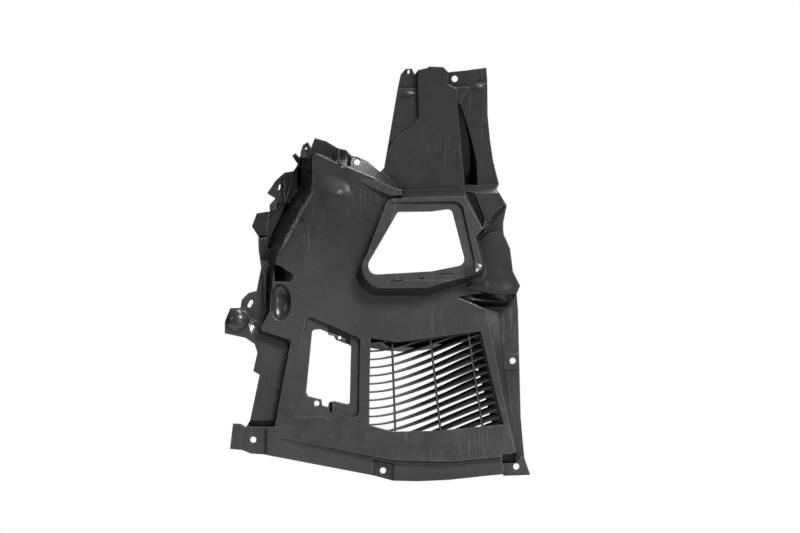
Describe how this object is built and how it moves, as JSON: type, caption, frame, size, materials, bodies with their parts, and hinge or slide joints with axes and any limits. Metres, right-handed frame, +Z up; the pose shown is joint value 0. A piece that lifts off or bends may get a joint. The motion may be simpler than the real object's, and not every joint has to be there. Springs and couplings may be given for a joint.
{
  "type": "wheel arch liner",
  "caption": "Front section of a wheel arch liner: a thin moulded shell with a louvred duct, a framed opening, a lamp access opening and fixing tabs.",
  "frame": {"origin": "front of the lower middle fixing hole", "axes": "+Z up the liner towards its tower, +X towards the side with the louvred duct, +Y away from the wheel"},
  "size_m": [0.3825, 0.0983, 0.5171],
  "materials": {
    "moulding": "semi-matt black injection-moulded polypropylene, slightly glossier on rims and scuffed by handling"
  },
  "bodies": {
    "root": {"wheel_arch_liner": "moulding"}
  },
  "joints": []
}
